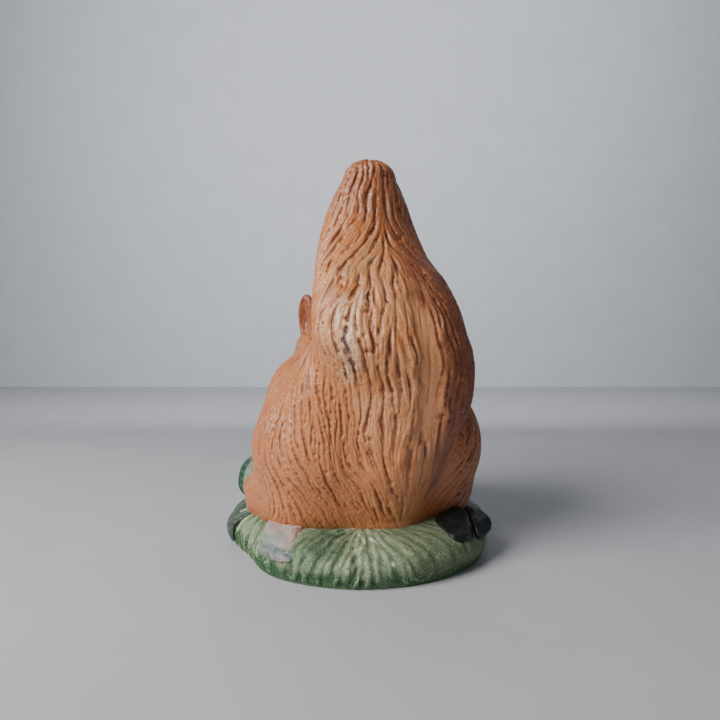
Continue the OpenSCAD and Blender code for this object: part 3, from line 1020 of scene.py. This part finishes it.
def leaf_width(u, power, taper):
    """Share of a leaf's half width along its length, from its base at -1 to its tip at 1."""
    return np.sqrt(np.clip(1 - np.abs(u) ** power, 0, 1)) * (1 - taper * u)


def leaf_edge(u, v, width, long, band):
    """1 along a leaf's border, and 0 from the band's far side inwards."""
    return ramp(*band, np.minimum((1 - np.abs(v)) * width, (1 - np.abs(u)) * long))


def side_veins(u, v, spacing, slant, wide):
    return np.exp(-(((u * spacing - np.abs(v) * slant) % 1.0 - 0.5) / wide) ** 2)


LEAF_AT = np.array([29.2, -21.4, 18.0])
LEAF_LONG = 7.8
LEAF_WIDE = 7.2
LEAF_THICK = 1.2
LEAF_TURN = 158
LEAF_ARCH = -0.8


def make_upright_leaf():
    """A thick clay leaf: a cambered blade with a middle vein, side veins and a soft edge."""
    u, v = np.meshgrid(np.linspace(-1, 1, 64), np.linspace(-1, 1, 48), indexing="ij")
    width = LEAF_WIDE * leaf_width(u, 2.4, 0.18)
    vein = np.exp(-(v / 0.07) ** 2)
    side = side_veins(u, v, 3.2, 1.5, 0.09) * (np.abs(v) < 0.9)
    body = LEAF_THICK * np.sqrt(np.clip(1 - v ** 4, 0, 1) * np.clip(1 - u ** 6, 0, 1)) + 0.06
    thick = body > 0.3
    front = body - (0.35 * vein + 0.18 * side) * thick
    sheets = []
    for y in (front, -body):
        across, back = turned(v * width, y + LEAF_ARCH * u ** 2, -LEAF_TURN)
        sheets.append(np.stack([across, back, LEAF_LONG * u], -1) + LEAF_AT)
    return sheets_object("upright_leaf", *sheets, {
        "edge": leaf_edge(u, v, width, LEAF_LONG, (2.7, 1.6)), "veins": np.maximum(vein, 0.7 * side) * thick})


# Leaves pressed on the mound's side: direction of the middle, its length up the side, half length,
# half width, turn, and how far the tip lifts
LYING_LEAVES = {
    "leaf_over_rim": (-14.8, 8.6, 8.2, 4.3, -50, 2.0),
    "leaf_inner_lobe": (-8.6, 10.8, 5.0, 2.8, 20, 0.2)}


def lying_leaf(name, toward, up_side, long, wide, twist, lift):
    """A clay leaf that follows the mound's side."""
    u, v = np.meshgrid(np.linspace(-1, 1, 70), np.linspace(-1, 1, 48), indexing="ij")
    width = wide * leaf_width(u, 2.2, 0.15) * (1 + 0.05 * np.sin(11 * u))
    p, q = turned(v * width, long * u, twist)
    angle = toward + np.degrees(p / MOUND_R)
    up = np.clip(up_side + q, 0.3, SIDE_LENGTH[-1] - 1)

    def place(angle, up):
        return round_axis(*up_the_side(up), angle)

    along = place(angle + 1, up) - place(angle - 1, up)
    climb = place(angle, up + 0.8) - place(angle, up - 0.8)
    normal = unit(np.cross(along, climb))
    rim = np.sqrt(np.clip(1 - v ** 4, 0, 1) * np.clip(1 - u ** 6, 0, 1))
    vein = np.minimum(1, np.exp(-(v / 0.09) ** 2) + 0.6 * side_veins(u, v, 3, 1, 0.12)) * rim
    top = place(angle, up) + normal * (0.25 + 0.85 * rim - 0.25 * vein)[..., None]
    under = place(angle, up) + normal * (0.22 - 0.9 * rim)[..., None]
    for leaf_side in (top, under):
        raised = leaf_side[..., 2] + lift * ramp(0.1, 1.0, u) ** 1.5
        leaf_side[..., 2] = np.maximum(raised, 0.2)
    return sheets_object(name, top, under, {"edge": leaf_edge(u, v, width, long, (1.6, 0.6)), "veins": vein})


# ---------------------------------------------------------------- materials

def linear(colour, dim=1.0):
    """Linear colour from screen values of 0 to 255, dimmed."""
    return (*(dim * (((c / 255 + 0.055) / 1.055) ** 2.4 if c > 10 else c / 255 / 12.92) for c in colour), 1)


class Paint:
    """A ceramic paint in layers of node colours. An amount is a number, a mask's name or an output."""

    def __init__(self, name, base):
        self.material = bpy.data.materials.new(name)
        self.material.use_nodes = True
        self.nodes = self.material.node_tree.nodes
        self.links = self.material.node_tree.links
        self.shader = self.nodes["Principled BSDF"].inputs
        self.place = self.nodes.new("ShaderNodeTexCoord").outputs["Object"]
        self.colour = linear(base)
        self.normal = None

    def feed(self, value, socket):
        if isinstance(value, str):
            node = self.nodes.new("ShaderNodeAttribute")
            node.attribute_name = value
            value = node.outputs["Fac"]
        if isinstance(value, (int, float, tuple)):
            socket.default_value = value
        else:
            self.links.new(value, socket)

    def noise(self, size_mm, detail=3.0, rough=0.55, stretch=None):
        node = self.nodes.new("ShaderNodeTexNoise")
        for key, value in (("Scale", 1000.0 / size_mm), ("Detail", detail), ("Roughness", rough)):
            node.inputs[key].default_value = value
        place = self.place
        if stretch:
            shape = self.nodes.new("ShaderNodeMapping")
            shape.inputs["Scale"].default_value = stretch
            self.feed(place, shape.inputs["Vector"])
            place = shape.outputs["Vector"]
        self.feed(place, node.inputs["Vector"])
        return node.outputs["Fac"]

    def range(self, value, low, high, to_low=0.0, to_high=1.0):
        node = self.nodes.new("ShaderNodeMapRange")
        node.interpolation_type = "SMOOTHSTEP"
        for key, number in (("From Min", low), ("From Max", high), ("To Min", to_low), ("To Max", to_high)):
            node.inputs[key].default_value = number
        self.feed(value, node.inputs["Value"])
        return node.outputs["Result"]

    def cloud(self, size_mm, low, high, to_low=0.0, to_high=1.0, detail=3.0):
        """Noise spread between two values."""
        return self.range(self.noise(size_mm, detail), low, high, to_low, to_high)

    def times(self, first, *others):
        """Product of amounts, each held between 0 and 1."""
        for other in others:
            node = self.nodes.new("ShaderNodeMath")
            node.operation = "MULTIPLY"
            node.use_clamp = True
            self.feed(first, node.inputs[0])
            self.feed(other, node.inputs[1])
            first = node.outputs[0]
        return first

    def coat(self, colour, *amounts, dim=1.0):
        """Lays a colour over what is there, as much as the product of the amounts."""
        node = self.nodes.new("ShaderNodeMix")
        node.data_type = "RGBA"
        node.clamp_factor = True
        self.feed(self.times(*amounts), node.inputs["Factor"])
        self.feed(self.colour, node.inputs["A"])
        self.feed(linear(colour, dim), node.inputs["B"])
        self.colour = node.outputs["Result"]

    def speckle(self, colour, size_mm, low, high, most):
        """Fine spots of a colour, like the grain of the fired clay."""
        self.coat(colour, self.range(self.noise(size_mm, 5, 0.7), low, high, 0.0, most))

    def relief(self, height, high_mm):
        """Fine relief on top of the modelled one."""
        bump = self.nodes.new("ShaderNodeBump")
        bump.inputs["Strength"].default_value = 1.0
        bump.inputs["Distance"].default_value = high_mm * MM
        self.feed(height, bump.inputs["Height"])
        if self.normal:
            self.feed(self.normal, bump.inputs["Normal"])
        self.normal = bump.outputs["Normal"]

    def finish(self, rough, spread, bump_mm, grain_mm, specular=0.5, coat=0.0):
        """The material, with its gloss and grain."""
        self.relief(self.noise(grain_mm, 3.0, 0.6), bump_mm)
        uneven = self.cloud(3.0, 0.3, 0.7, rough - spread, rough + spread, detail=4.0)
        for value, key in (
                (self.colour, "Base Color"), (uneven, "Roughness"), (specular, "Specular IOR Level"),
                (coat, "Coat Weight"), (0.25, "Coat Roughness"), (self.normal, "Normal")):
            self.feed(value, self.shader[key])
        return self.material


def fur_paint():
    """Terracotta with paler and darker places, dark lines in the strokes, and the face's paints. Some of them
    are painted light and shade: the valley is painted paler as painted light, the tail's right side darker as
    painted shade, and each eye has a painted highlight.
    """
    paint = Paint("fur_paint_fired", (188, 114, 62))
    paint.coat((178, 101, 52), paint.cloud(16, 0.42, 0.62))
    paint.coat((208, 144, 98), "tail", paint.cloud(9, 0.3, 0.6))
    paint.coat((195, 121, 78), "low", 0.7)
    paint.coat((150, 86, 56), "tip", 0.75)
    # Painted light: the valley down the tail is painted paler where the lamp only grazes it
    paint.coat((244, 168, 114), "valley", 0.85)
    # Darker reddish brown where the lobe mask is: the tail's right lobe, the right haunch and the ears in
    # their own paint, and painted shade on the tail's side turned from the light; lit dims the pale ridges in
    # the same places
    paint.coat((120, 58, 38), "lobe", paint.cloud(5, 0.3, 0.65, 0.6, 1.0))
    paint.coat((160, 136, 100), "moss", paint.cloud(4, 0.35, 0.6, 0.0, 0.6))
    lit = paint.range("lobe", 0.0, 1.0, 1.0, 0.3)
    ridge = paint.times(paint.range("stroke", 0.3, 1.7), "deep", lit)
    paint.coat((206, 140, 90), ridge, paint.cloud(6, 0.35, 0.7, 0.0, 0.6))
    paint.coat((230, 198, 160), "cream", paint.range("stroke", -0.9, -0.1), 0.65)
    groove = paint.times(paint.range("stroke", -0.4, -1.5), "deep")
    paint.coat((126, 66, 36), groove, paint.cloud(5, 0.25, 0.6, 0.45, 1.0, detail=4))
    line = paint.times(paint.range("stroke", -1.15, -1.75), "deep")
    paint.coat((84, 40, 24), line, paint.cloud(6, 0.38, 0.58, 0.1, 0.85))
    paint.coat((74, 36, 24), paint.range("stroke", -0.2, -1.1), "haunch")
    paint.coat((126, 70, 40), paint.range("hair", -0.5, -1.6), paint.cloud(4, 0.3, 0.6), 0.6)
    paint.coat((216, 152, 100), paint.range("hair", 0.5, 1.6), lit, 0.35)
    paint.coat((74, 80, 86), "slate", paint.range("stroke", -0.5, -1.0), 0.9)
    paint.speckle((134, 72, 42), 0.6, 0.50, 0.68, 0.6)
    paint.speckle((216, 156, 110), 0.5, 0.51, 0.68, 0.6)
    paint.coat((96, 46, 32), "inside", 0.85)
    paint.coat((96, 46, 28), "mouth")
    paint.coat((86, 44, 30), "nose")
    paint.coat((20, 14, 12), "eye")
    # Painted highlight on each eye
    paint.coat((244, 244, 240), "painted_eye_highlight")
    paint.relief(paint.range("stroke", -1.9, -0.5), 0.12)
    paint.relief(paint.range("hair", -2.0, 2.0), 0.08)
    return paint.finish(0.40, 0.12, 0.12, 0.45, coat=0.15)


def grass_paint():
    """Grey-green, darker between the blades and at the foot, with pale crests and white scratches, and
    painted shade on the right side and in a band high on the mound.
    """
    paint = Paint("grass_paint_fired", (126, 142, 110))
    paint.coat((106, 124, 92), paint.cloud(7, 0.42, 0.60, detail=4))
    paint.coat((146, 154, 126), paint.cloud(2.6, 0.48, 0.66, 0.0, 0.6, detail=4))
    paint.coat((122, 142, 112), "pale", paint.cloud(7, 0.3, 0.6))
    # Painted shade: darker olive on the mound's right side, turned from the light
    paint.coat((84, 92, 66), "right_side_shade", 0.75)
    paint.coat((60, 86, 54), paint.range("blade", -0.2, -1.5), "deep", 0.9)
    paint.coat((30, 82, 38), "low", paint.cloud(5, 0.2, 0.5, 0.5, 1.0, detail=4))
    ridge = paint.times(paint.range("blade", 0.2, 1.3), "deep")
    paint.coat((150, 164, 128), ridge, paint.cloud(5, 0.3, 0.7, 0.1, 0.5))
    crest = paint.times(paint.range("blade", 0.62, 0.82), paint.range("blade", 1.2, 1.0), "deep")
    paint.coat((180, 194, 160), crest, paint.cloud(4, 0.36, 0.58, detail=4))
    paint.coat((104, 132, 82), "lip", 0.8)
    paint.coat((60, 86, 64), "shade", paint.cloud(2, 0.35, 0.6, 0.4, 0.95, detail=4))
    paint.speckle((64, 86, 60), 0.6, 0.50, 0.66, 0.6)
    paint.speckle((184, 192, 166), 0.5, 0.52, 0.68, 0.55)
    paint.coat((232, 236, 230), "seam", paint.cloud(2, 0.2, 0.4, detail=4))
    paint.relief(paint.range("blade", -1.6, 1.6), 0.18)
    return paint.finish(0.52, 0.1, 0.10, 0.5, specular=0.35)


def nut_paint(name, light, dark):
    paint = Paint(name, light)
    paint.coat(dark, "groove")
    paint.coat(light, paint.cloud(3, 0.45, 0.65, 0.0, 0.6, detail=4), dim=0.6)
    return paint.finish(0.42, 0.1, 0.04, 0.5)


def pale_stone_paint():
    """Pinkish grey, browner beyond the edge as painted shade on the side facet, greenish at the left, grey
    low down and white at the chips.
    """
    paint = Paint("pale_stone_fired", (178, 160, 158))
    paint.coat((162, 144, 142), paint.cloud(3, 0.42, 0.62))
    paint.coat((198, 160, 138), paint.cloud(4, 0.56, 0.68, 0.0, 0.6, detail=2))
    # Painted shade: the side facet beyond the edge is painted browner and darker
    paint.coat((146, 112, 96), paint.range("beyond", 0.0, 0.5, 0.0, 0.85))
    left = paint.times(paint.range("beside", 2.6, 0.4), paint.range("high", 11.6, 10.4))
    paint.coat((136, 154, 142), left, paint.cloud(3, 0.3, 0.5, 0.6, 1.0))
    under = paint.range("high", 9.8, 8.4)
    paint.coat((84, 100, 104), under, paint.cloud(2.2, 0.40, 0.56, 0.45, 1.0, detail=4))
    paint.coat((236, 236, 234), "chip", paint.cloud(2, 0.4, 0.55, detail=4))
    return paint.finish(0.55, 0.1, 0.08, 0.6, specular=0.35)


def dark_stone_paint():
    paint = Paint("dark_stone_fired", (20, 26, 24))
    paint.coat((12, 17, 16), paint.cloud(4, 0.42, 0.6))
    streak = paint.range(paint.noise(1.3, 2, stretch=(1.0, 0.24, 1.0)), 0.60, 0.70)
    paint.coat((80, 86, 84), streak, 0.3)
    return paint.finish(0.5, 0.08, 0.06, 0.6, specular=0.35)


def leaf_paint(name, face, rim, vein):
    paint = Paint(name, face)
    paint.coat(face, paint.cloud(3, 0.42, 0.62, 0.0, 0.8, detail=4), dim=0.6)
    paint.coat(rim, "edge")
    paint.coat(vein, "veins", 0.7)
    return paint.finish(0.48, 0.1, 0.05, 0.5)


def plain_paint(name, colour, rough):
    paint = Paint(name, colour)
    paint.coat(colour, paint.cloud(40, 0.4, 0.6), dim=0.97)
    return paint.finish(rough, 0.03, 0.02, 2.0, specular=0.3)


# ---------------------------------------------------------------- putting it together

def belongs(obj, node, material):
    obj.data.materials.append(material)
    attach(obj, "root")
    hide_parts(node)


NODE_OF = {
    "body": "body_shell", "tail": "tail_shell", "head": "head_shell",
    "left_foreleg": "left_foreleg", "right_foreleg": "right_foreleg",
    "left_foot": "left_hind_foot", "right_foot": "right_hind_foot"}


def build_ornament():
    fur = fur_paint()
    points, quads, owner, masks = make_animal()
    normals = normals_of(points, quads)
    face_owner = np.array([np.bincount(votes).argmax() for votes in owner[quads]])
    for k, name in enumerate(FORMS):
        obj = piece_from(name + "_fur", points, quads[face_owner == k], normals, masks)
        belongs(obj, NODE_OF[name], fur)
    for obj, node in make_ears():
        belongs(obj, node, fur)
    kernel_brown = nut_paint("nut_kernel_paint", (176, 120, 70), (120, 74, 42))
    cup_brown = nut_paint("nut_cup_paint", (120, 84, 56), (66, 42, 28))
    belongs(make_kernel(), "nut", kernel_brown)
    belongs(make_cup(), "nut_cup", cup_brown)
    belongs(make_mound(), "mound_shell", grass_paint())
    pale = faceted_stone("pale_faceted_stone", PALE_STONE, 3, pale_marks)
    belongs(pale, "pale_stone", pale_stone_paint())
    slate = dark_stone_paint()
    for seed, (name, corners) in enumerate(DARK_STONES.items(), 8):
        belongs(faceted_stone(name, corners, seed), "dark_stones", slate)
    slate_green = leaf_paint("rim_leaf_paint", (70, 86, 74), (50, 66, 56), (104, 116, 100))
    for name, measures in LYING_LEAVES.items():
        belongs(lying_leaf(name, *measures), "rim_leaf", slate_green)
    grey_green = leaf_paint("tall_leaf_paint", (176, 190, 164), (30, 76, 48), (120, 146, 142))
    belongs(make_upright_leaf(), "tall_leaf", grey_green)


# ---------------------------------------------------------------- stage, light and camera

CAMERA_AT = np.array([67.05, 165.9, 62.0])
CAMERA_LENS = 27.05
CAMERA_PITCH = 1.08
CAMERA_TURN = 158.0
# The room: directions from the camera's side, and how far the floor and the wall reach
RIGHT = np.array([math.cos(math.radians(CAMERA_TURN)), math.sin(math.radians(CAMERA_TURN)), 0])
UP = np.array([0, 0, 1.0])
BACK = np.cross(RIGHT, UP)
WALL_BEHIND = 722.0
FLOOR_BEFORE = 1500
ROOM_HALF = 2500
WALL_HIGH = 1800


def stage_sheet(name, start, across, along, material):
    """A flat sheet from one corner and two sides."""
    obj = add_object(name, [start, start + across, start + across + along, start + along], [(0, 1, 2, 3)], {})
    obj.data.materials.append(material)


def build_stage():
    corner = -WALL_BEHIND * BACK - ROOM_HALF * RIGHT
    across, along = 2 * ROOM_HALF * RIGHT, (WALL_BEHIND + FLOOR_BEFORE) * BACK
    stage_sheet("floor", corner, along, across, plain_paint("floor_paint", (184, 185, 189), 0.6))
    stage_sheet("wall", corner, across, WALL_HIGH * UP, plain_paint("wall_paint", (206, 211, 218), 0.7))


def area_light(name, at, target, size, watts, colour):
    data = bpy.data.lights.new(name, "AREA")
    data.shape = "DISK"
    data.size = size
    data.energy = watts
    data.color = colour
    obj = bpy.data.objects.new(name, data)
    obj.location = Vector(at * MM)
    obj.rotation_euler = (Vector(target * MM) - obj.location).to_track_quat("-Z", "Y").to_euler()
    bpy.context.collection.objects.link(obj)


def build_lights():
    aim = 50 * UP
    area_light("window_light", 275 * BACK - 375 * RIGHT + 370 * UP, aim, 0.36, 5.1, (1.0, 0.98, 0.96))
    area_light("fill_light", 500 * BACK + 330 * RIGHT + 500 * UP, aim, 0.6, 0.15, (1.0, 0.93, 0.88))
    area_light("wall_light", 640 * UP - 380 * BACK, 560 * UP - WALL_BEHIND * BACK, 1.2, 4.0, (1.0, 1.0, 1.0))
    world = bpy.data.worlds.new("soft_room")
    world.use_nodes = True
    sky = world.node_tree.nodes["Background"].inputs
    sky["Color"].default_value = (0.86, 0.90, 1.0, 1)
    sky["Strength"].default_value = 0.14
    bpy.context.scene.world = world


def build_camera():
    data = bpy.data.cameras.new("camera")
    data.lens = CAMERA_LENS
    data.sensor_width = 36.0
    data.clip_start = 0.01
    camera = bpy.data.objects.new("camera", data)
    camera.location = Vector(CAMERA_AT * MM)
    camera.rotation_euler = (math.radians(90 - CAMERA_PITCH), 0, math.radians(CAMERA_TURN))
    bpy.context.collection.objects.link(camera)
    bpy.context.scene.camera = camera


build_camera()
build_lights()
build_stage()
build_ornament()
